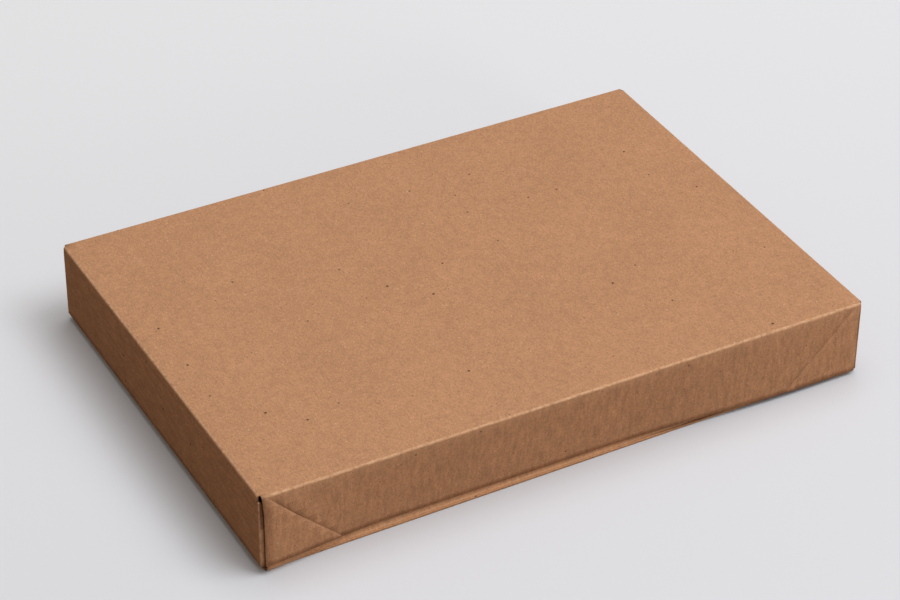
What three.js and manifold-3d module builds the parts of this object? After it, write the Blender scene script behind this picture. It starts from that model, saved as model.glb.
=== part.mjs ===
// Two-piece apparel box of natural kraft chipboard, closed, lying flat.
// Each piece is one die-cut sheet folded and glued into a shallow tray with infold corners:
// the end walls wrap round the corners as glue flaps inside the long walls, and each long
// wall has a 45 degree score at either end, along which the box folds flat for storage.
// The lid is the larger tray, turned over and telescoped down over the base.
// Millimetres, +Z up, origin at the middle of the underside, +X along the long side.

import * as THREE from 'three';
import Module from 'manifold-3d';

// Base tray, outside sizes at its bottom folds
const baseLength = 254;
const baseWidth = 177.8;
const baseDepth = 31.75;

// Lid tray
const lidDepth = 31.75;
const slipClearance = 0.45;
const restGap = 0.3;

// The lid sits on the base's back right corner and rides up towards the front left one
const lidTiltAlong = 0.52;
const lidTiltAcross = 0.29;

// Board and folds
const board = 0.55;
const foldInside = 0.5;
const cornerInside = 0.45;

// Slit beside each vertical fold, and the nick it ends in at the corner
const cornerNick = 0.15;
const slitShift = 0.55;
const slitCurve = 10;

// Glue flaps
const flapRelief = 2.6;
const flapSetback = 3;
const flapNose = 5;
const flapRoot = 1.5;
const glueBond = 0.15;

// Scores on the long walls
const scoreWidth = 0.9;
const scoreDepth = 0.18;
const scoreStart = 2.5;

// The lid's long walls spring inward at their free edge, most over the left two thirds
const lidBow = 3.6;
const lidBowRise = 50;
const lidBowFall = 90;
const lidBowHold = 25;

// The base's long walls are sprung in ahead of the lid's, from a soft roll at the bottom fold
const baseBow = 1.6;
const baseBowRise = 25;
const leanHeight = 2.2;
const leanClearance = 0.6;
const leanRise = 18;

// How finely the curved stretches are divided
const stepsAlong = 24;
const stepsUp = 6;
const stepsInFold = 4;
const stepsOnFlap = 6;
const endLip = 9;

const foldRadius = foldInside + board;
const cornerRadius = cornerInside + board;
const lidOverhang = 2 * board + slipClearance;
const lidLength = baseLength + 2 * lidOverhang;
const lidWidth = baseWidth + 2 * lidOverhang;

const wasm = await Module();
wasm.setup();

function smooth(t) {
  const s = THREE.MathUtils.clamp(t, 0, 1);
  return s * s * (3 - 2 * s);
}

// Joins two matching grids of points, a sheet's outer and inner face, into one closed solid.
function sheet(columns, rows, outer, inner) {
  const points = [];
  for (const face of [outer, inner]) {
    for (let i = 0; i <= columns; i += 1) {
      for (let j = 0; j <= rows; j += 1) {
        points.push(face(i, j));
      }
    }
  }
  const faceSize = (columns + 1) * (rows + 1);
  const out = (i, j) => i * (rows + 1) + j;
  const into = (i, j) => faceSize + out(i, j);
  const triangles = [];
  const quad = (a, b, c, d) => triangles.push([a, b, c], [a, c, d]);
  for (let i = 0; i < columns; i += 1) {
    for (let j = 0; j < rows; j += 1) {
      quad(out(i, j), out(i + 1, j), out(i + 1, j + 1), out(i, j + 1));
      quad(into(i, j), into(i, j + 1), into(i + 1, j + 1), into(i + 1, j));
    }
    quad(out(i + 1, 0), out(i, 0), into(i, 0), into(i + 1, 0));
    quad(out(i, rows), out(i + 1, rows), into(i + 1, rows), into(i, rows));
  }
  for (let j = 0; j < rows; j += 1) {
    quad(out(0, j), out(0, j + 1), into(0, j + 1), into(0, j));
    quad(out(columns, j + 1), out(columns, j), into(columns, j), into(columns, j + 1));
  }
  return solid(points, triangles);
}

// Makes a solid of the triangles, turned so that they face out.
function solid(points, triangles) {
  let volume = 0;
  for (const [a, b, c] of triangles) {
    volume += points[a].clone().cross(points[b]).dot(points[c]);
  }
  const facing = volume > 0 ? triangles : triangles.map(([a, b, c]) => [a, c, b]);
  const vertProperties = new Float32Array(points.flatMap((p) => p.toArray()));
  const triVerts = new Uint32Array(facing.flat());
  return new wasm.Manifold(new wasm.Mesh({ numProp: 3, vertProperties, triVerts }));
}

// Heights up a flat wall from its free edge to its fold, closer together near the fold
function wallHeights(depth) {
  const heights = [];
  for (let k = 0; k < stepsUp; k += 1) {
    const share = 1 - k / stepsUp;
    heights.push(foldRadius + (depth - foldRadius) * share * share);
  }
  return heights;
}

// The section of a folded wall, from its free edge round the fold to the panel: each station
// has its distance in from the wall's face and its height over the panel's face, outside and in.
function foldSection(depth) {
  const stations = wallHeights(depth).map((height) => ({
    outIn: 0,
    outUp: height,
    inIn: board,
    inUp: height,
  }));
  for (let k = 0; k <= stepsInFold; k += 1) {
    const angle = (Math.PI / 2) * (k / stepsInFold);
    const innerRadius = foldRadius - board;
    stations.push({
      outIn: foldRadius - foldRadius * Math.cos(angle),
      outUp: foldRadius - foldRadius * Math.sin(angle),
      inIn: foldRadius - innerRadius * Math.cos(angle),
      inUp: foldRadius - innerRadius * Math.sin(angle),
    });
  }
  return stations;
}

// Folded tray, its panel's outer face on z = 0 and its walls up. inset(x, height) is how far
// the long walls are sprung in at that place.
function tray(length, width, depth, inset) {
  const slitEdge = (height) => foldRadius + cornerNick + slitShift * smooth(height / slitCurve);

  // Long wall, panel and long wall: one strip that runs from slit to slit
  function longStrip() {
    const half = foldSection(depth);
    const section = [
      ...half.map((s) => ({ ...s, far: false })),
      ...half.toReversed().map((s) => ({ ...s, far: true })),
    ];
    const along = (i, height) => {
      const start = slitEdge(height);
      const share = (1 - Math.cos((Math.PI * i) / stepsAlong)) / 2;
      return start + (length - 2 * start) * share;
    };
    const point = (i, s, inward, up) => {
      const x = along(i, s.outUp);
      const y = inward + inset(x, s.outUp);
      return new THREE.Vector3(x, s.far ? width - y : y, up);
    };
    return sheet(
      stepsAlong,
      section.length - 1,
      (i, j) => point(i, section[j], section[j].outIn, section[j].outUp),
      (i, j) => point(i, section[j], section[j].inIn, section[j].inUp),
    );
  }

  // Where the vertical fold starts on the end wall: the flap behind it lies inside the long wall
  const flapFace = board - glueBond;
  const foldStart = flapFace + cornerRadius;

  // End wall with its fold and a lip that runs in under the long strip's panel
  function endWall(far) {
    const stations = foldSection(depth);
    const last = stations[stations.length - 1];
    stations.push({ ...last, outIn: last.outIn + endLip, inIn: last.inIn + endLip });
    const sides = [foldStart, width - foldStart];
    const point = (inward, side, up) => new THREE.Vector3(far ? length - inward : inward, side, up);
    return sheet(
      1,
      stations.length - 1,
      (i, j) => point(stations[j].outIn, sides[i], stations[j].outUp),
      (i, j) => point(stations[j].inIn, sides[i], stations[j].inUp),
    );
  }

  // A corner piece is worked out from the corner it stands at, then mirrored to its own corner
  const placed = (corner, inX, inY, up) =>
    new THREE.Vector3(corner.right ? length - inX : inX, corner.back ? width - inY : inY, up);
  const insetAt = (corner, inX, up) => inset(corner.right ? length - inX : inX, up);

  // Glue flap: on from the end wall round the vertical fold, along the inside of the long wall
  // and up to a 45 degree edge that stays clear of the score
  function glueFlap(corner) {
    const slope = (height) => slitEdge(0) + height - flapSetback;
    const reach = (height) => {
      const nose = slope(depth) - flapNose + (depth - height);
      return Math.max(cornerRadius + flapRoot, Math.min(slope(height), nose));
    };
    const heights = [...wallHeights(depth).filter((height) => height > flapRelief), flapRelief];
    const columns = 1 + stepsInFold + stepsOnFlap;
    const point = (i, height, inner) => {
      const skin = inner ? board : 0;
      if (i === 0) {
        return placed(corner, skin, foldStart + endLip, height);
      }
      if (i <= 1 + stepsInFold) {
        const angle = (Math.PI / 2) * ((i - 1) / stepsInFold);
        const radius = cornerRadius - skin;
        const inX = cornerRadius - radius * Math.cos(angle);
        return placed(corner, inX, foldStart - radius * Math.sin(angle), height);
      }
      const share = (i - 1 - stepsInFold) / stepsOnFlap;
      const inX = cornerRadius + (reach(height) - cornerRadius) * share;
      return placed(corner, inX, flapFace + skin + insetAt(corner, inX, height), height);
    };
    return sheet(
      columns,
      heights.length - 1,
      (i, j) => point(i, heights[j], false),
      (i, j) => point(i, heights[j], true),
    );
  }

  // Cutter for the diagonal score, pressed into the long wall's outer face
  function score(corner) {
    const point = (i, j, halfWidth, inward) => {
      const height = scoreStart + (depth + scoreWidth - scoreStart) * (j / stepsOnFlap);
      const inX = slitEdge(0) + height;
      const sideways = (i === 0 ? -halfWidth : halfWidth) * Math.SQRT1_2;
      const y = inward + insetAt(corner, inX, height);
      return placed(corner, inX + sideways, y, height - sideways);
    };
    return sheet(
      1,
      stepsOnFlap,
      (i, j) => point(i, j, scoreWidth / 2, -scoreDepth),
      (i, j) => point(i, j, scoreWidth / 8, scoreDepth),
    );
  }

  let body = longStrip().add(endWall(false)).add(endWall(true));
  for (const right of [false, true]) {
    for (const back of [false, true]) {
      body = body.add(glueFlap({ right, back })).subtract(score({ right, back }));
    }
  }
  return body;
}

// How far a share of the lid's bow reaches at x along the lid
function bowShape(x) {
  return smooth(x / lidBowRise) * smooth((lidLength - lidBowHold - x) / lidBowFall);
}

function lidInset(x, height) {
  return lidBow * bowShape(x) * (height / lidDepth);
}

// The base's long wall starts on a slightly bowed bottom fold, leans in quickly and from there
// up stays inside the lowest place of the lid's wall as it slides past
function baseInset(x, height) {
  const atFold = baseBow * smooth(x / baseBowRise) * smooth((baseLength - x) / baseBowRise);
  const nearEnd = smooth(x / leanRise) * smooth((baseLength - x) / leanRise);
  const mid = smooth((x + lidOverhang) / lidBowRise) * smooth((baseLength + lidOverhang - x) / lidBowRise);
  const above = (lidBow * mid + leanClearance) * nearEnd;
  const share = 1 - Math.exp(-height / leanHeight);
  return atFold + (Math.max(above, atFold) - atFold) * share;
}

function trayMesh(name, body, length, width, material) {
  const cut = body.getMesh();
  const positions = [];
  for (let v = 0; v < cut.numVert; v += 1) {
    const [x, y, z] = cut.vertProperties.slice(v * cut.numProp, v * cut.numProp + 3);
    positions.push(x - length / 2, y - width / 2, z);
  }
  const geometry = new THREE.BufferGeometry();
  geometry.setAttribute('position', new THREE.Float32BufferAttribute(positions, 3));
  geometry.setIndex([...cut.triVerts]);
  geometry.computeVertexNormals();
  const mesh = new THREE.Mesh(geometry, material);
  mesh.name = name;
  return mesh;
}

const lidBoard = new THREE.MeshStandardMaterial({ color: 0xb78a6a, roughness: 0.86, metalness: 0 });
const baseBoard = new THREE.MeshStandardMaterial({ color: 0xb08562, roughness: 0.88, metalness: 0 });

const base = trayMesh(
  'base_tray',
  tray(baseLength, baseWidth, baseDepth, baseInset),
  baseLength,
  baseWidth,
  baseBoard,
);

const lid = trayMesh(
  'lid_tray',
  tray(lidLength, lidWidth, lidDepth, lidInset),
  lidLength,
  lidWidth,
  lidBoard,
);

// The lid turns over about its long axis, then tilts about the middle of its depth
lid.rotation.x = Math.PI;
lid.position.z = lidDepth / 2;
const tiltAlong = THREE.MathUtils.degToRad(lidTiltAlong);
const tiltAcross = THREE.MathUtils.degToRad(lidTiltAcross);
const rise = (baseLength / 2) * Math.tan(tiltAlong) + (baseWidth / 2) * Math.tan(tiltAcross);
const lidPose = new THREE.Group();
lidPose.rotation.set(-tiltAcross, tiltAlong, 0);
lidPose.position.z = baseDepth + restGap + board + rise - lidDepth / 2;
lidPose.add(lid);

const box = new THREE.Group();
box.add(base, lidPose);

export default box;
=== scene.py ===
import math

import bmesh
import bpy
from mathutils import Matrix, Vector, noise


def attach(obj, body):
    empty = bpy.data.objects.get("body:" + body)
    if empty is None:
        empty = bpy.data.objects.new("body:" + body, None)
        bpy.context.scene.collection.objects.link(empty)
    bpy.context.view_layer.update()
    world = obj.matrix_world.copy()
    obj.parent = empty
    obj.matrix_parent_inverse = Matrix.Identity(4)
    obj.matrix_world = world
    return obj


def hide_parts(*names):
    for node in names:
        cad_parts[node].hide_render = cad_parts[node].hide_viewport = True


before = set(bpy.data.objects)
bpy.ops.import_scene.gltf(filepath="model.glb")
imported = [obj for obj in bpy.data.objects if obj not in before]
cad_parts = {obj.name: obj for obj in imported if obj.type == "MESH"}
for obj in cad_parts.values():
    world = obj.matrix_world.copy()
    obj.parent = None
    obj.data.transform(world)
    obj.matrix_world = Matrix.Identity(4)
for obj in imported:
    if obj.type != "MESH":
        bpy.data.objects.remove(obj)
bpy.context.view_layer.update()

# Camera: a long lens from the front left, held level from side to side, looking down at the
# lid. The turn, height and distance are those at which the photograph's corners fall into place.
CAMERA_TURN = math.radians(-28.366)
CAMERA_HEIGHT = math.radians(35.5)
CAMERA_DISTANCE = 1.1974
CAMERA_AIM = Vector((-0.0003, 0.0057, 0.018))
LENS_LENGTH, FILM_WIDTH = 121.7, 36.0
CLIP_START = 0.05

lens = bpy.data.cameras.new("camera")
lens.sensor_width = FILM_WIDTH
lens.lens = LENS_LENGTH
lens.clip_start = CLIP_START
camera = bpy.data.objects.new("camera", lens)
bpy.context.collection.objects.link(camera)
flat = math.cos(CAMERA_HEIGHT)
towards_camera = Vector((
    flat * math.sin(CAMERA_TURN),
    -flat * math.cos(CAMERA_TURN),
    math.sin(CAMERA_HEIGHT),
))
camera.location = CAMERA_AIM + CAMERA_DISTANCE * towards_camera
camera.rotation_euler = (-towards_camera).to_track_quat("-Z", "Y").to_euler()
bpy.context.scene.camera = camera
bpy.context.scene.view_settings.view_transform = "Standard"

# Floor: a wide sheet of pale studio paper that holds the box's soft shadow, with painted light
# that makes it paler towards the back. It lies just below the box, and the light it throws up
# is a dim, warm one.
FLOOR_COLOUR = (0.675, 0.695, 0.745, 1.0)
FLOOR_FAR_PAINTED_LIGHT = (0.790, 0.805, 0.845, 1.0)
FLOOR_BOUNCE = (0.24, 0.165, 0.12, 1.0)
FLOOR_NEAR_LINE, FLOOR_FAR_LINE = -0.10, 0.45
FLOOR_HALF = 4.0
FLOOR_DROP = 0.0001

floor_form = bmesh.new()
bmesh.ops.create_grid(floor_form, x_segments=1, y_segments=1, size=FLOOR_HALF)
bmesh.ops.translate(floor_form, vec=(0.0, 0.0, -FLOOR_DROP), verts=floor_form.verts)
floor_mesh = bpy.data.meshes.new("floor")
floor_form.to_mesh(floor_mesh)
floor_form.free()
floor = bpy.data.objects.new("floor", floor_mesh)
bpy.context.collection.objects.link(floor)

floor_paper = bpy.data.materials.new("floor_paper")
floor_paper.use_nodes = True
floor_tree = floor_paper.node_tree
floor_shader = floor_tree.nodes["Principled BSDF"]
floor_shader.inputs["Roughness"].default_value = 0.9
floor_shader.inputs["Specular IOR Level"].default_value = 0.2

floor_place = floor_tree.nodes.new("ShaderNodeTexCoord")
floor_axes = floor_tree.nodes.new("ShaderNodeSeparateXYZ")
floor_depth = floor_tree.nodes.new("ShaderNodeMapRange")
floor_depth.inputs["From Min"].default_value = FLOOR_NEAR_LINE
floor_depth.inputs["From Max"].default_value = FLOOR_FAR_LINE
# Painted light: the floor's colour grows paler from the near line to the far line.
floor_tone = floor_tree.nodes.new("ShaderNodeMix")
floor_tone.data_type = "RGBA"
floor_tone.inputs[6].default_value = FLOOR_COLOUR
floor_tone.inputs[7].default_value = FLOOR_FAR_PAINTED_LIGHT
floor_tree.links.new(floor_place.outputs["Object"], floor_axes.inputs["Vector"])
floor_tree.links.new(floor_axes.outputs["Y"], floor_depth.inputs["Value"])
floor_tree.links.new(floor_depth.outputs["Result"], floor_tone.inputs[0])

seen_directly = floor_tree.nodes.new("ShaderNodeLightPath")
floor_choice = floor_tree.nodes.new("ShaderNodeMix")
floor_choice.data_type = "RGBA"
floor_choice.inputs[6].default_value = FLOOR_BOUNCE
floor_tree.links.new(seen_directly.outputs["Is Camera Ray"], floor_choice.inputs[0])
floor_tree.links.new(floor_tone.outputs[2], floor_choice.inputs[7])
floor_tree.links.new(floor_choice.outputs[2], floor_shader.inputs["Base Color"])
floor_mesh.materials.append(floor_paper)

# Light: broad soft lamps high on the right and overhead, and a low one in front that
# reaches under the lid's edge, all under a dim even sky. Each looks at the table's middle.
SKY_COLOUR, SKY_STRENGTH = (1.0, 0.90, 0.78, 1.0), 0.30


def soft_lamp(name, place, width, power):
    light = bpy.data.lights.new(name, "AREA")
    light.shape = "SQUARE"
    light.size = width
    light.energy = power
    lamp = bpy.data.objects.new(name, light)
    bpy.context.collection.objects.link(lamp)
    lamp.location = place
    lamp.rotation_euler = (-Vector(place)).to_track_quat("-Z", "Y").to_euler()


soft_lamp("lamp_right", place=(1.25, -1.25, 2.6), width=1.7, power=45.0)
soft_lamp("lamp_above", place=(0.45, 0.15, 2.6), width=2.2, power=33.0)
soft_lamp("lamp_front", place=(0.6, -2.4, 0.45), width=0.8, power=13.0)
sky = bpy.data.worlds.new("sky")
sky.use_nodes = True
sky_light = sky.node_tree.nodes["Background"]
sky_light.inputs["Color"].default_value = SKY_COLOUR
sky_light.inputs["Strength"].default_value = SKY_STRENGTH
bpy.context.scene.world = sky

# Base tray: one die-cut sheet of kraft chipboard, its walls turned up and its end walls' flaps
# glued inside the long walls. The flat blank is cut and scored first, then folded, as the real
# one is made. The long walls lean in a little, clear of the lid's sprung edges.
BASE_LENGTH, BASE_WIDTH, BASE_DEPTH = 0.254, 0.1778, 0.03175
BOARD = 0.00055
FOLD_RADIUS, CORNER_RADIUS = 0.00105, 0.00100
FOLD_ARC, CORNER_ARC = FOLD_RADIUS * math.pi / 2, CORNER_RADIUS * math.pi / 2

# Glue flaps, inside the long walls: slanted at the top, blunt at the nose, cut back at the foot.
GLUE_GAP = 0.00022
FLAP_FACE = BOARD + GLUE_GAP
FLAP_START = FLAP_FACE + CORNER_RADIUS - FOLD_RADIUS
FLAP_RELIEF, FLAP_SETBACK, FLAP_NOSE = 0.0026, 0.003, 0.005
FLAP_FOOT = FLAP_RELIEF - FOLD_RADIUS + FOLD_ARC
FLAP_SLANT = FLAP_SETBACK - FOLD_RADIUS

# Slit beside each upright fold, and the score that runs at 45 degrees from its foot.
CORNER_NICK, SLIT_SHIFT, SLIT_CURVE, SLIT_TAPER = 0.00015, 0.00055, 0.010, 0.012
SCORE_START, SCORE_HALF_WIDTH, SCORE_DEPTH = 0.0022, 0.00019, 0.00032

# Bows of the long walls: the base's own, and its lean under the lid's.
LID_SLIP = 0.00045
LID_OVERHANG = 2 * BOARD + LID_SLIP
LID_BOW, LID_BOW_RISE = 0.0036, 0.050
BASE_BOW, BASE_BOW_RISE = 0.0016, 0.025
LEAN_HEIGHT, LEAN_CLEARANCE, LEAN_RISE = 0.0022, 0.0006, 0.018

# Waver of the long folds, its pitch for a metre, shifted so that no two walls are alike.
WAVER, WAVER_PITCH, WAVER_FADE = 0.0003, 140.0, 0.012
WAVER_SIDE_SHIFT, WAVER_TRAY_SHIFT = 7.0, 90.0

# Steps of the mesh, the nearness at which points count as being on a line, and the blank's
# corners, each by whether it is on the right and whether it is at the back.
WALL_STEP, PANEL_STEP, FOLD_CUTS = 0.0024, 0.0045, 5
CUT_NEARNESS, SCORE_NEARNESS = 1e-7, 0.00005
CORNERS = ((False, False), (False, True), (True, False), (True, True))

# Pale wear with painted highlight, painted light and painted shade, as shares of the full
# colour. Heights are in metres, and the other places are shares of a fold's turn or, along a
# score, of the wall's height.
# Pale worn fibre with a painted highlight over the corner fold.
CORNER_WEAR_AND_HIGHLIGHT = 1.4
# Painted light: a paler band on the long walls just past the fold, and its height.
EDGE_PAINTED_LIGHT, EDGE_PAINTED_LIGHT_HEIGHT = 0.22, 0.006
SLIT_SHADE, SLIT_SHADE_START, SLIT_SHADE_SPAN = 1.5, 0.5, 0.25
SLIT_SHADE_LOSS, SLIT_SHADE_HEIGHT = 0.6, 0.024
# Painted shade along the left scores' creases, from where it starts to where it ends.
SCORE_SHADE_START, SCORE_SHADE_RISE, SCORE_SHADE_END, SCORE_SHADE_FALL = 0.12, 0.20, 0.58, 0.08
# Painted highlight along the scores, weaker on the right.
SCORE_HIGHLIGHT, SCORE_HIGHLIGHT_START, SCORE_HIGHLIGHT_RISE, RIGHT_SCORE_HIGHLIGHT = 0.55, 0.5, 0.1, 0.5

# Kraft board: uncoated brown chipboard, mottled at several scales and flecked with recycled
# fibre. It is paler at the folds, with worn fibre and a painted highlight, paler with painted
# light in a band on the long walls past the fold and along the scores, and darker with painted
# shade in the slits and the left scores' creases. The pattern lies in the flat sheet's own
# coordinates, in millimetres, so it runs on over the folds.
BASE_COLOUR = (0.535, 0.275, 0.140, 1.0)
CUT_COLOUR = (0.17, 0.085, 0.042, 1.0)
# Pale worn fibre with painted highlight, used at the folds and along the scores.
WEAR_AND_HIGHLIGHT_COLOUR, WEAR_AND_HIGHLIGHT_STRENGTH = (0.72, 0.46, 0.28, 1.0), 0.62
# Colour of the painted shade in the slits and the left scores' creases.
PAINTED_SHADE_COLOUR = (0.13, 0.060, 0.028, 1.0)
DARK_FLECK_COLOUR, DARK_FLECK_STRENGTH = (0.05, 0.022, 0.012, 1.0), 0.92
BROWN_FLECK_COLOUR, BROWN_FLECK_STRENGTH = (0.17, 0.08, 0.045, 1.0), 0.6
PALE_FLECK_COLOUR, PALE_FLECK_STRENGTH = (0.72, 0.50, 0.33, 1.0), 0.5
SMALLEST_FLECK, LARGEST_FLECK, FLECK_SOFT_RIM = 0.45, 1.2, 0.45
CLOUD_SWING, MOTTLE_SWING, GRAIN_SWING, FIBRE_SWING, RIPPLE_SWING = 0.035, 0.075, 0.14, 0.20, 0.13
GRAIN_HEIGHT, MOTTLE_HEIGHT = 0.6, 0.7
BUMP_STRENGTH, BUMP_HEIGHT = 0.35, 0.00012
NOISE_MIDDLE = (0.3, 0.7)
MILLIMETRES = 1000.0


def link_or_set(tree, sockets, values):
    for socket, value in zip(sockets, values):
        if isinstance(value, bpy.types.NodeSocket):
            tree.links.new(value, socket)
        else:
            socket.default_value = value


def shader_maths(tree, operation, first, second, clamp=False):
    node = tree.nodes.new("ShaderNodeMath")
    node.operation = operation
    node.use_clamp = clamp
    link_or_set(tree, node.inputs, (first, second))
    return node.outputs[0]


def colour_blend(tree, share, under, over):
    node = tree.nodes.new("ShaderNodeMix")
    node.data_type = "RGBA"
    link_or_set(tree, (node.inputs[0], node.inputs[6], node.inputs[7]), (share, under, over))
    return node.outputs[2]


def remapped(tree, value, limits, new_limits):
    """The value moved from one pair of limits to another, and held within them."""
    node = tree.nodes.new("ShaderNodeMapRange")
    tree.links.new(value, node.inputs["Value"])
    for socket, limit in zip(("From Min", "From Max", "To Min", "To Max"), limits + new_limits):
        node.inputs[socket].default_value = limit
    return node.outputs["Result"]


def sheet_noise(tree, place, stretch, scale, detail, offset):
    """Noise over the flat sheet, stretched along the grain, its scale for a millimetre."""
    mapping = tree.nodes.new("ShaderNodeMapping")
    mapping.inputs["Scale"].default_value = (1.0, 1.0 / stretch, 1.0)
    mapping.inputs["Location"].default_value = (offset, offset * 0.7, 0.0)
    tree.links.new(place, mapping.inputs["Vector"])
    texture = tree.nodes.new("ShaderNodeTexNoise")
    texture.inputs["Scale"].default_value = scale
    texture.inputs["Detail"].default_value = detail
    texture.inputs["Roughness"].default_value = 0.6
    tree.links.new(mapping.outputs["Vector"], texture.inputs["Vector"])
    return texture.outputs["Fac"]


def sheet_flecks(tree, place, spacing, radius, share, offset):
    """Mask of small specks, in millimetres: one cell in a few holds one, of its own size."""
    mapping = tree.nodes.new("ShaderNodeMapping")
    mapping.inputs["Location"].default_value = (offset, offset * 1.3, 0.0)
    tree.links.new(place, mapping.inputs["Vector"])
    cells = tree.nodes.new("ShaderNodeTexVoronoi")
    cells.voronoi_dimensions = "2D"
    cells.inputs["Scale"].default_value = 1.0 / spacing
    tree.links.new(mapping.outputs["Vector"], cells.inputs["Vector"])
    draws = tree.nodes.new("ShaderNodeSeparateColor")
    tree.links.new(cells.outputs["Color"], draws.inputs["Color"])
    chosen = shader_maths(tree, "LESS_THAN", draws.outputs[0], share)
    small, large = radius * SMALLEST_FLECK / spacing, radius * LARGEST_FLECK / spacing
    size = remapped(tree, draws.outputs[1], (0.0, 1.0), (small, large))
    near = shader_maths(tree, "SUBTRACT", size, cells.outputs["Distance"])
    spot = shader_maths(tree, "DIVIDE", near, size, clamp=True)
    soft = remapped(tree, spot, (0.0, FLECK_SOFT_RIM), (0.0, 1.0))
    return shader_maths(tree, "MULTIPLY", soft, chosen)


def make_kraft_group():
    """Node group: kraft colour and height over the flat sheet, for any sheet colour.

    Fold is where the board is worn pale, with painted highlight and painted light, the shade
    mask where painted shade darkens it, and Wall where it ripples.
    """
    group = bpy.data.node_groups.new("kraft_surface", "ShaderNodeTree")
    for direction, socket, kind in (
        ("INPUT", "Sheet Place", "NodeSocketVector"),
        ("INPUT", "Board", "NodeSocketColor"),
        ("INPUT", "Wear And Highlight", "NodeSocketColor"),
        ("INPUT", "Fold", "NodeSocketFloat"),
        ("INPUT", "Painted Shade", "NodeSocketFloat"),
        ("INPUT", "Wall", "NodeSocketFloat"),
        ("OUTPUT", "Colour", "NodeSocketColor"),
        ("OUTPUT", "Height", "NodeSocketFloat"),
    ):
        group.interface.new_socket(socket, in_out=direction, socket_type=kind)
    ins = group.nodes.new("NodeGroupInput").outputs
    outs = group.nodes.new("NodeGroupOutput").inputs
    place = ins["Sheet Place"]

    clouds = sheet_noise(group, place, stretch=1.3, scale=0.035, detail=2.0, offset=11.0)
    mottle = sheet_noise(group, place, stretch=1.6, scale=0.30, detail=3.0, offset=47.0)
    grain = sheet_noise(group, place, stretch=1.7, scale=1.1, detail=3.0, offset=83.0)
    fibre = sheet_noise(group, place, stretch=1.2, scale=2.4, detail=2.0, offset=131.0)
    streaks = sheet_noise(group, place, stretch=5.0, scale=0.55, detail=2.0, offset=211.0)
    broken = sheet_noise(group, place, stretch=1.0, scale=0.5, detail=4.0, offset=171.0)

    light = 1.0
    for source, swing in (
        (clouds, CLOUD_SWING),
        (mottle, MOTTLE_SWING),
        (grain, GRAIN_SWING),
        (fibre, FIBRE_SWING),
    ):
        change = remapped(group, source, NOISE_MIDDLE, (1 - swing, 1 + swing))
        light = shader_maths(group, "MULTIPLY", light, change)
    ripple = remapped(group, streaks, NOISE_MIDDLE, (-RIPPLE_SWING, RIPPLE_SWING))
    ripple = shader_maths(group, "MULTIPLY", ripple, ins["Wall"])
    light = shader_maths(group, "MULTIPLY", light, shader_maths(group, "ADD", ripple, 1.0))
    lit = group.nodes.new("ShaderNodeVectorMath")
    lit.operation = "SCALE"
    group.links.new(ins["Board"], lit.inputs[0])
    group.links.new(light, lit.inputs["Scale"])
    colour = lit.outputs[0]

    dark = sheet_flecks(group, place, spacing=13.0, radius=0.56, share=0.19, offset=5.0)
    brown = sheet_flecks(group, place, spacing=4.0, radius=0.32, share=0.40, offset=29.0)
    pale = sheet_flecks(group, place, spacing=6.0, radius=0.34, share=0.34, offset=61.0)
    for flecks, strength, fleck_colour in (
        (dark, DARK_FLECK_STRENGTH, DARK_FLECK_COLOUR),
        (brown, BROWN_FLECK_STRENGTH, BROWN_FLECK_COLOUR),
        (pale, PALE_FLECK_STRENGTH, PALE_FLECK_COLOUR),
    ):
        share = shader_maths(group, "MULTIPLY", flecks, strength)
        colour = colour_blend(group, share, colour, fleck_colour)

    # Pale worn fibre and painted highlight where the fold mask is set.
    patches = remapped(group, broken, (0.34, 0.62), (0.1, 1.0))
    worn_and_lit = shader_maths(group, "MULTIPLY", ins["Fold"], patches)
    share = shader_maths(group, "MULTIPLY", worn_and_lit, WEAR_AND_HIGHLIGHT_STRENGTH)
    colour = colour_blend(group, share, colour, ins["Wear And Highlight"])
    # Painted shade where the shade mask is set.
    unevenly = remapped(group, mottle, (0.35, 0.6), (0.45, 0.9))
    painted_shade = shader_maths(group, "MULTIPLY", ins["Painted Shade"], unevenly)
    colour = colour_blend(group, painted_shade, colour, PAINTED_SHADE_COLOUR)
    group.links.new(colour, outs["Colour"])

    height = shader_maths(group, "ADD", shader_maths(group, "MULTIPLY", grain, GRAIN_HEIGHT), fibre)
    height = shader_maths(group, "ADD", height, shader_maths(group, "MULTIPLY", mottle, MOTTLE_HEIGHT))
    height = shader_maths(group, "ADD", height, shader_maths(group, "MULTIPLY", worn_and_lit, broken))
    group.links.new(height, outs["Height"])
    return group


kraft_surface = make_kraft_group()


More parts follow.
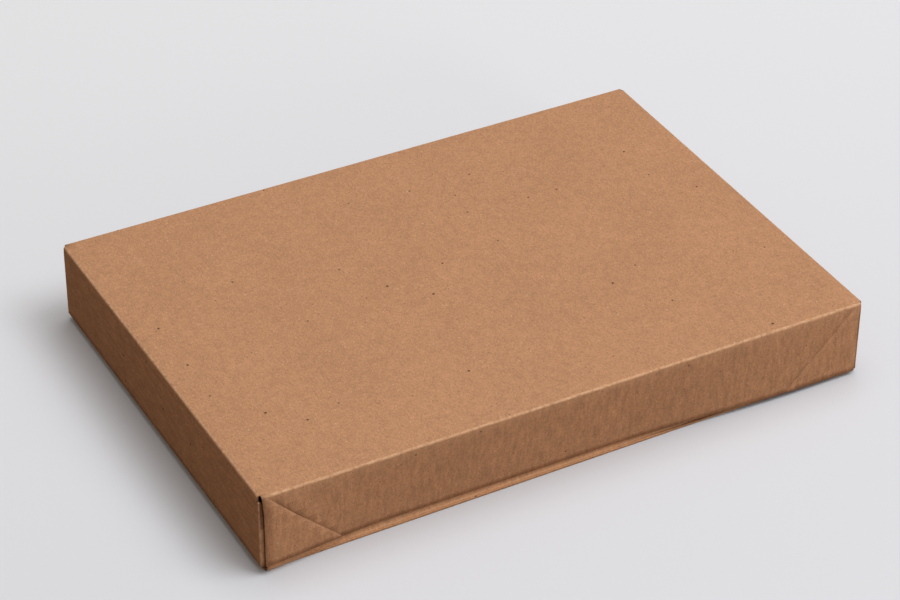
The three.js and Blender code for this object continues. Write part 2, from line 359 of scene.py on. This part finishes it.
def kraft(name, colour):
    """Sheet material: matt and slightly fibrous, with the masks that are marked on the mesh."""
    material = bpy.data.materials.new(name)
    material.use_nodes = True
    tree = material.node_tree
    shader = tree.nodes["Principled BSDF"]
    shader.inputs["Roughness"].default_value = 0.82
    shader.inputs["Specular IOR Level"].default_value = 0.28
    place = tree.nodes.new("ShaderNodeUVMap")
    place.uv_map = "sheet"
    in_millimetres = tree.nodes.new("ShaderNodeMapping")
    in_millimetres.inputs["Scale"].default_value = (MILLIMETRES, MILLIMETRES, 1.0)
    tree.links.new(place.outputs["UV"], in_millimetres.inputs["Vector"])
    surface = tree.nodes.new("ShaderNodeGroup")
    surface.node_tree = kraft_surface
    surface.inputs["Board"].default_value = colour
    surface.inputs["Wear And Highlight"].default_value = WEAR_AND_HIGHLIGHT_COLOUR
    tree.links.new(in_millimetres.outputs["Vector"], surface.inputs["Sheet Place"])
    for socket, layer in (("Fold", "fold"), ("Painted Shade", "score"), ("Wall", "wall")):
        mask = tree.nodes.new("ShaderNodeAttribute")
        mask.attribute_name = layer
        tree.links.new(mask.outputs["Fac"], surface.inputs[socket])
    bump = tree.nodes.new("ShaderNodeBump")
    bump.inputs["Strength"].default_value = BUMP_STRENGTH
    bump.inputs["Distance"].default_value = BUMP_HEIGHT
    tree.links.new(surface.outputs["Height"], bump.inputs["Height"])
    tree.links.new(bump.outputs["Normal"], shader.inputs["Normal"])
    tree.links.new(surface.outputs["Colour"], shader.inputs["Base Color"])
    return material


def smooth(t):
    s = min(max(t, 0.0), 1.0)
    return s * s * (3 - 2 * s)


def base_inset(x, height):
    """How far the base's long wall stands in, at a place along it and a height up it."""
    at_fold = BASE_BOW * smooth(x / BASE_BOW_RISE) * smooth((BASE_LENGTH - x) / BASE_BOW_RISE)
    near_end = smooth(x / LEAN_RISE) * smooth((BASE_LENGTH - x) / LEAN_RISE)
    from_left, from_right = x + LID_OVERHANG, BASE_LENGTH + LID_OVERHANG - x
    mid = smooth(from_left / LID_BOW_RISE) * smooth(from_right / LID_BOW_RISE)
    above = (LID_BOW * mid + LEAN_CLEARANCE) * near_end
    return at_fold + (max(above, at_fold) - at_fold) * (1 - math.exp(-height / LEAN_HEIGHT))


def turned_up(past, off, radius):
    """Across and up from a fold, for a point past it on the blank and off its outer face."""
    if past <= 0:
        return radius - past, off
    angle = min(past / radius, math.pi / 2)
    wall = max(past - radius * math.pi / 2, 0.0)
    return radius - (radius - off) * math.sin(angle), radius - (radius - off) * math.cos(angle) + wall


def spread(low, high, step):
    count = max(1, round((high - low) / step))
    return [low + (high - low) * k / count for k in range(count + 1)]


def from_corner(place, corner, panel):
    """A place on the blank, measured from one corner's fold lines, or the same turned back."""
    x = panel[0] - place[0] if corner[0] else place[0]
    y = panel[1] - place[1] if corner[1] else place[1]
    return x, y


def on_corner_piece(x, y):
    return x < 0 and y < FLAP_START


def on_scored_wall(x, y):
    return x > 0 and y < -SCORE_START


def cut_lines(form, axis, places):
    for place in places:
        point, normal = Vector((0, 0, 0)), Vector((0, 0, 0))
        point[axis] = place
        normal[axis] = 1.0
        everything = form.verts[:] + form.edges[:] + form.faces[:]
        bmesh.ops.bisect_plane(form, geom=everything, dist=CUT_NEARNESS, plane_co=point, plane_no=normal)


def cut_slanting(form, panel, corner, keep, place, slope):
    """Cuts the faces that keep() names along one slanting line, measured from a corner."""
    faces = [face for face in form.faces if keep(*from_corner(face.calc_center_median(), corner, panel))]
    edges = {edge for face in faces for edge in face.edges}
    verts = {vert for face in faces for vert in face.verts}
    point = Vector((*from_corner(place, corner, panel), 0))
    normal = Vector((-slope[0] if corner[0] else slope[0], -slope[1] if corner[1] else slope[1], 0))
    bmesh.ops.bisect_plane(form, geom=faces + list(edges) + list(verts), dist=CUT_NEARNESS,
                           plane_co=point, plane_no=normal)


def flat_blank(panel, reach):
    """The cut and scored sheet, flat, with one corner of its panel at 0, in metres."""
    form = bmesh.new()
    bmesh.ops.create_grid(form, x_segments=1, y_segments=1, size=0.5)
    spans = Vector((panel[0] + 2 * reach, panel[1] + 2 * reach, 1))
    bmesh.ops.scale(form, vec=spans, verts=form.verts)
    bmesh.ops.translate(form, vec=(panel[0] / 2, panel[1] / 2, 0), verts=form.verts)

    wall_steps = spread(-reach, -FOLD_ARC, WALL_STEP)[1:]
    fold_steps = spread(-FOLD_ARC, 0.0, FOLD_ARC / FOLD_CUTS)
    flap_steps = spread(FLAP_START - CORNER_ARC, FLAP_START, CORNER_ARC / FOLD_CUTS)
    end_steps = sorted(set(wall_steps + [-FLAP_FOOT] + fold_steps))
    side_steps = sorted(set(wall_steps + fold_steps + flap_steps))
    for axis, steps in ((0, end_steps), (1, side_steps)):
        cut_lines(form, axis, steps)
        cut_lines(form, axis, [panel[axis] - place for place in steps])
        cut_lines(form, axis, spread(0.0, panel[axis], PANEL_STEP)[1:-1])

    nose = (-reach, FLAP_START - (reach - FLAP_SLANT) + FLAP_NOSE)
    for corner in CORNERS:
        cut_slanting(form, panel, corner, on_corner_piece, (-FLAP_SLANT, FLAP_START), (1, -1))
        cut_slanting(form, panel, corner, on_corner_piece, nose, (1, 1))
        for shift in (-SCORE_HALF_WIDTH, 0.0, SCORE_HALF_WIDTH):
            cut_slanting(form, panel, corner, on_scored_wall, (SLIT_SHIFT + shift, shift), (1, 1))

    def is_waste(face):
        centre = face.calc_center_median()
        for corner in CORNERS:
            x, y = from_corner(centre, corner, panel)
            off_slant = x + FLAP_SLANT > y - FLAP_START
            off_nose = (x - nose[0]) + (y - nose[1]) < 0
            if on_corner_piece(x, y) and (x > -FLAP_FOOT or off_slant or off_nose):
                return True
        return False

    bmesh.ops.delete(form, geom=[face for face in form.faces if is_waste(face)], context="FACES")
    bmesh.ops.reverse_faces(form, faces=form.faces)
    sheet_uv = form.loops.layers.uv.new("sheet")
    for face in form.faces:
        for loop in face.loops:
            loop[sheet_uv].uv = (loop.vert.co.x, loop.vert.co.y)
    return form


def fold_up(form, size, panel, reach, inset):
    """Folds a flat blank into its tray, marking pale wear, painted light and shade, and ripples."""
    length, width = size[0], size[1]
    wear_and_highlight_mask = form.verts.layers.float.new("fold")
    painted_shade_mask = form.verts.layers.float.new("score")
    wall_mask = form.verts.layers.float.new("wall")

    for vert in form.verts:
        right, back = vert.co.x > panel[0] / 2, vert.co.y > panel[1] / 2
        x, y = from_corner(vert.co, (right, back), panel)
        corner_piece = on_corner_piece(x, y)
        wear_and_highlight, painted_shade = 0.0, 0.0
        if corner_piece:
            across, off = turned_up(FLAP_START - y, 0.0, CORNER_RADIUS)
            inward, up = turned_up(-x, off, FOLD_RADIUS)
            inward_y = FLAP_FACE + across
            bend = min(max(FLAP_START - y, 0.0) / CORNER_ARC, 1.0)
            # Pale worn fibre with a painted highlight over the corner fold's turn.
            wear_and_highlight = CORNER_WEAR_AND_HIGHLIGHT * math.sin(bend * math.pi)
            # Painted shade inside the slit, deepest at the foot.
            near_foot = 1 - SLIT_SHADE_LOSS * smooth(up / SLIT_SHADE_HEIGHT)
            painted_shade = SLIT_SHADE * smooth((bend - SLIT_SHADE_START) / SLIT_SHADE_SPAN) * near_foot
        elif x < 0:
            inward, up = turned_up(-x, 0.0, FOLD_RADIUS)
            inward_y = FOLD_RADIUS + y
            # Pale worn fibre with a painted highlight over the fold's turn.
            wear_and_highlight = math.sin(min(-x / FOLD_ARC, 1.0) * math.pi)
        elif y < 0:
            inward_y, up = turned_up(-y, 0.0, FOLD_RADIUS)
            slit = CORNER_NICK + SLIT_SHIFT * smooth(up / SLIT_CURVE)
            inward = FOLD_RADIUS + x + slit * max(0.0, 1 - x / SLIT_TAPER)
            wave = Vector((vert.co.x * WAVER_PITCH, WAVER_SIDE_SHIFT * back, WAVER_TRAY_SHIFT * length))
            waver = WAVER * noise.noise(wave)
            inward_y += waver * smooth(-y / FOLD_ARC) * (1 - smooth(up / WAVER_FADE))
            # Pale worn fibre with a painted highlight over the fold's turn.
            wear_and_highlight = math.sin(min(-y / FOLD_ARC, 1.0) * math.pi)
            # Painted light in a paler band on the wall just past the fold.
            above_fold = 1 - smooth((-y - FOLD_ARC) / EDGE_PAINTED_LIGHT_HEIGHT)
            wear_and_highlight = max(wear_and_highlight, EDGE_PAINTED_LIGHT * above_fold * smooth(-y / FOLD_ARC))
            if y < -SCORE_START and abs(x + y - SLIT_SHIFT) < SCORE_NEARNESS:
                inward_y += SCORE_DEPTH
                along = x / reach
                # Painted shade in the crease of the left scores only.
                begun, ended = (along - SCORE_SHADE_START) / SCORE_SHADE_RISE, (SCORE_SHADE_END - along) / SCORE_SHADE_FALL
                painted_shade = smooth(begun) * smooth(ended) * (not right)
                # Painted highlight along the score, weaker on the right.
                score_highlight = SCORE_HIGHLIGHT * smooth((along - SCORE_HIGHLIGHT_START) / SCORE_HIGHLIGHT_RISE)
                wear_and_highlight = max(wear_and_highlight, score_highlight * (RIGHT_SCORE_HIGHLIGHT if right else 1.0))
        else:
            inward, inward_y, up = FOLD_RADIUS + x, FOLD_RADIUS + y, 0.0
        true_x = length - inward if right else inward
        if y < 0 or corner_piece:
            inward_y += inset(true_x, up)
        vert[wear_and_highlight_mask] = wear_and_highlight
        vert[painted_shade_mask] = painted_shade
        vert[wall_mask] = 1.0 if x < 0 or y < 0 else 0.0
        vert.co = (true_x - length / 2, (width - inward_y if back else inward_y) - width / 2, up)


def folded_tray(name, size, inset, placing):
    """A tray of folded board, its size taken over the outside, in its place on the object."""
    panel = (size[0] - 2 * FOLD_RADIUS, size[1] - 2 * FOLD_RADIUS)
    reach = size[2] - FOLD_RADIUS + FOLD_ARC
    form = flat_blank(panel, reach)
    fold_up(form, size, panel, reach, inset)
    bmesh.ops.transform(form, matrix=placing, verts=form.verts)
    for face in form.faces:
        face.smooth = True
    mesh = bpy.data.meshes.new(name)
    form.to_mesh(mesh)
    form.free()
    piece = bpy.data.objects.new(name, mesh)
    bpy.context.collection.objects.link(piece)
    thickness = piece.modifiers.new("board", "SOLIDIFY")
    thickness.thickness = BOARD
    thickness.offset = -1.0
    thickness.material_offset_rim = 1
    return piece


base_kraft = kraft("base_kraft", BASE_COLOUR)
cut_kraft = kraft("cut_kraft", CUT_COLOUR)
base_size = (BASE_LENGTH, BASE_WIDTH, BASE_DEPTH)
base_tray = folded_tray("base_tray_folded", base_size, base_inset, Matrix.Identity(4))
base_tray.data.materials.append(base_kraft)
base_tray.data.materials.append(cut_kraft)
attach(base_tray, "base")
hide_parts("base_tray")

# Lid tray: a larger tray of the same sheet, turned over and slid down over the base. It sits
# on the base's back right corner and rides up towards the front left one, and the free edges
# of its long walls spring inward, most over the left two thirds.
LID_LENGTH = BASE_LENGTH + 2 * LID_OVERHANG
LID_WIDTH = BASE_WIDTH + 2 * LID_OVERHANG
LID_DEPTH = 0.03175
LID_BOW_FALL, LID_BOW_HOLD = 0.090, 0.025
REST_GAP = 0.0003
TILT_ALONG, TILT_ACROSS = math.radians(0.52), math.radians(0.29)
LID_COLOUR = (0.452, 0.232, 0.122, 1.0)


def lid_inset(x, height):
    """How far the lid's long wall springs in, at a place along it and a height up it."""
    bow = smooth(x / LID_BOW_RISE) * smooth((LID_LENGTH - LID_BOW_HOLD - x) / LID_BOW_FALL)
    return LID_BOW * bow * (height / LID_DEPTH)


lid_rise = BASE_LENGTH / 2 * math.tan(TILT_ALONG) + BASE_WIDTH / 2 * math.tan(TILT_ACROSS)
lid_middle = BASE_DEPTH + REST_GAP + BOARD + lid_rise - LID_DEPTH / 2
lid_placing = (
    Matrix.Translation((0, 0, lid_middle))
    @ Matrix.Rotation(-TILT_ACROSS, 4, "X")
    @ Matrix.Rotation(TILT_ALONG, 4, "Y")
    @ Matrix.Translation((0, 0, LID_DEPTH / 2))
    @ Matrix.Rotation(math.pi, 4, "X")
)
lid_kraft = kraft("lid_kraft", LID_COLOUR)
lid_size = (LID_LENGTH, LID_WIDTH, LID_DEPTH)
lid_tray = folded_tray("lid_tray_folded", lid_size, lid_inset, lid_placing)
lid_tray.data.materials.append(lid_kraft)
lid_tray.data.materials.append(cut_kraft)
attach(lid_tray, "lid")
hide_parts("lid_tray")
